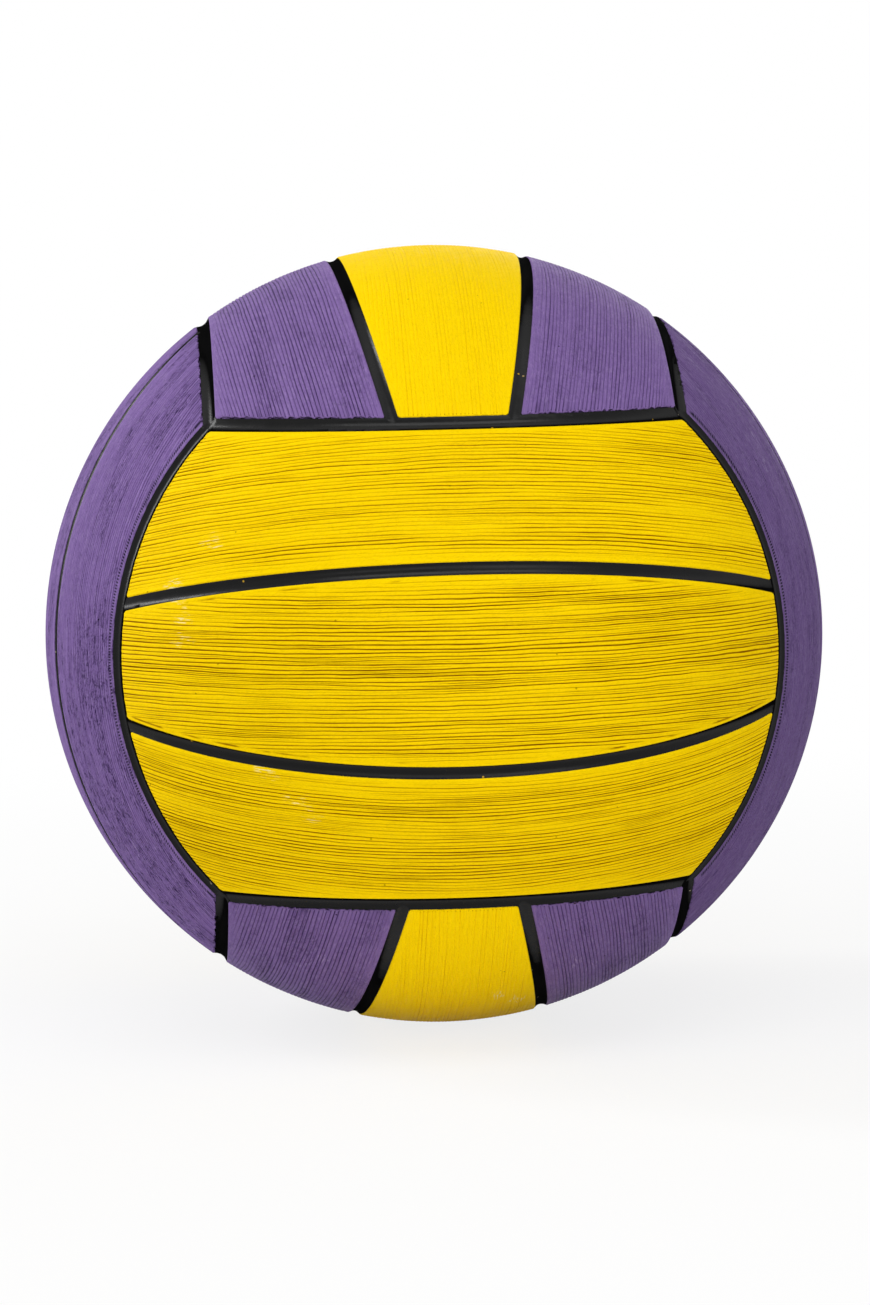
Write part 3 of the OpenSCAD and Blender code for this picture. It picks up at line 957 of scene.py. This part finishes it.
class BALL_OT_stage(bpy.types.Operator):
    """Makes the floor, the white room, the soft lamps and the camera"""
    bl_idname = "ball.stage"
    bl_label = "Stage"

    def execute(self, context):
        scene, stage = context.scene, context.scene.ball_stage
        radius = scene.ball_sizes.ball_radius
        self.floor(stage, radius)
        self.room(scene, stage)
        for name, (at, size) in LAMPS.items():
            soft_lamp("lamp_" + name, at, size, getattr(stage, name + "_power"))
        self.camera(scene, stage, radius)
        scene.view_settings.view_transform = "Standard"
        return {"FINISHED"}

    def floor(self, stage, radius):
        """A square floor under the ball: its matt share keeps the shadow, and the rest shows plain
        white."""
        half = stage.floor_extent / 2
        mesh = bpy.data.meshes.new("floor")
        mesh.from_pydata([(-half, -half, -radius), (half, -half, -radius),
                          (half, half, -radius), (-half, half, -radius)], [], [(0, 1, 2, 3)])
        floor = bpy.data.objects.new("floor", mesh)
        bpy.context.scene.collection.objects.link(floor)
        n = Nodes(bpy.data.materials.new("floor_white"))
        n.tree.nodes.clear()
        matt = n.add("ShaderNodeBsdfDiffuse", {"Color": opaque([stage.floor_matt] * 3)})
        white = n.add("ShaderNodeEmission", {"Color": opaque([1, 1, 1]), "Strength": 1.0})
        away = n.add("ShaderNodeVectorMath", {0: n.place()}, operation="LENGTH").outputs["Value"]
        level = n.ramp(away, FLOOR_FADE[0] * radius, FLOOR_FADE[1] * radius, stage.floor_white)
        share = n.times(n.background_rays(), level)
        mix = n.add("ShaderNodeMixShader", {0: share, 1: matt.outputs[0], 2: white.outputs[0]})
        n.add("ShaderNodeOutputMaterial", {"Surface": mix.outputs[0]})
        mesh.materials.append(n.owner)

    def room(self, scene, stage):
        """A white world: 1 to the camera and to gloss, the ambient strength to everything else."""
        scene.world = bpy.data.worlds.new("white_room")
        n = Nodes(scene.world)
        level = n.add("ShaderNodeMapRange", {"Value": n.background_rays(),
                                             "To Min": stage.ambient, "To Max": 1.0})
        shade = n.tree.nodes["Background"].inputs
        n.set(shade["Color"], opaque([1, 1, 1]))
        n.set(shade["Strength"], level.outputs[0])

    def camera(self, scene, stage, radius):
        """The photograph's camera: its shift puts the middle of the ball at its place there."""
        data = bpy.data.cameras.new("camera")
        data.sensor_fit = "AUTO"
        data.sensor_width = 36.0
        data.lens = stage.camera_lens
        data.shift_x = (PICTURE_W / 2 - BALL_AT[0]) / PICTURE_H
        data.shift_y = (BALL_AT[1] - PICTURE_H / 2) / PICTURE_H
        data.clip_start = 0.05
        data.clip_end = 200.0
        camera = bpy.data.objects.new("camera", data)
        scene.collection.objects.link(camera)
        ahead = VIEW_AHEAD.normalized()
        right = (VIEW_RIGHT - ahead * VIEW_RIGHT.dot(ahead)).normalized()
        up = right.cross(ahead)
        turn = Matrix((right, up, -ahead)).transposed().to_4x4()
        turn.translation = -ahead * (VIEW_DISTANCE * radius)
        camera.matrix_world = turn
        scene.camera = camera


class BALL_PT_sidebar(bpy.types.Panel):
    """Lists the steps and the sizes in the 3D view's sidebar"""
    bl_idname = "BALL_PT_sidebar"
    bl_label = "Water polo ball"
    bl_space_type = "VIEW_3D"
    bl_region_type = "UI"
    bl_category = "Ball"

    def draw(self, context):
        for step in STEPS:
            self.layout.operator(step.bl_idname)
        for group in ("ball_sizes", "ball_colours", "ball_stage"):
            settings = getattr(context.scene, group)
            box = self.layout.box()
            for key in settings.bl_rna.properties.keys():
                if key not in ("rna_type", "name"):
                    box.prop(settings, key)


GROUPS = {"ball_sizes": BallSizes, "ball_colours": BallColours, "ball_stage": StageSettings}
STEPS = (BALL_OT_yellow_panels, BALL_OT_purple_panels, BALL_OT_channels, BALL_OT_valve,
         BALL_OT_layers, BALL_OT_stage)


def register():
    for kind in (*GROUPS.values(), *STEPS, BALL_PT_sidebar):
        bpy.utils.register_class(kind)
    for name, kind in GROUPS.items():
        setattr(bpy.types.Scene, name, PointerProperty(type=kind))


def unregister():
    for name in GROUPS:
        delattr(bpy.types.Scene, name)
    for kind in (BALL_PT_sidebar, *reversed(STEPS), *reversed(list(GROUPS.values()))):
        bpy.utils.unregister_class(kind)


def main():
    register()
    bpy.ops.ball.yellow_panels()
    bpy.ops.ball.purple_panels()
    bpy.ops.ball.channels()
    bpy.ops.ball.valve()
    bpy.ops.ball.layers()
    bpy.ops.ball.stage()


if __name__ == "__main__":
    main()
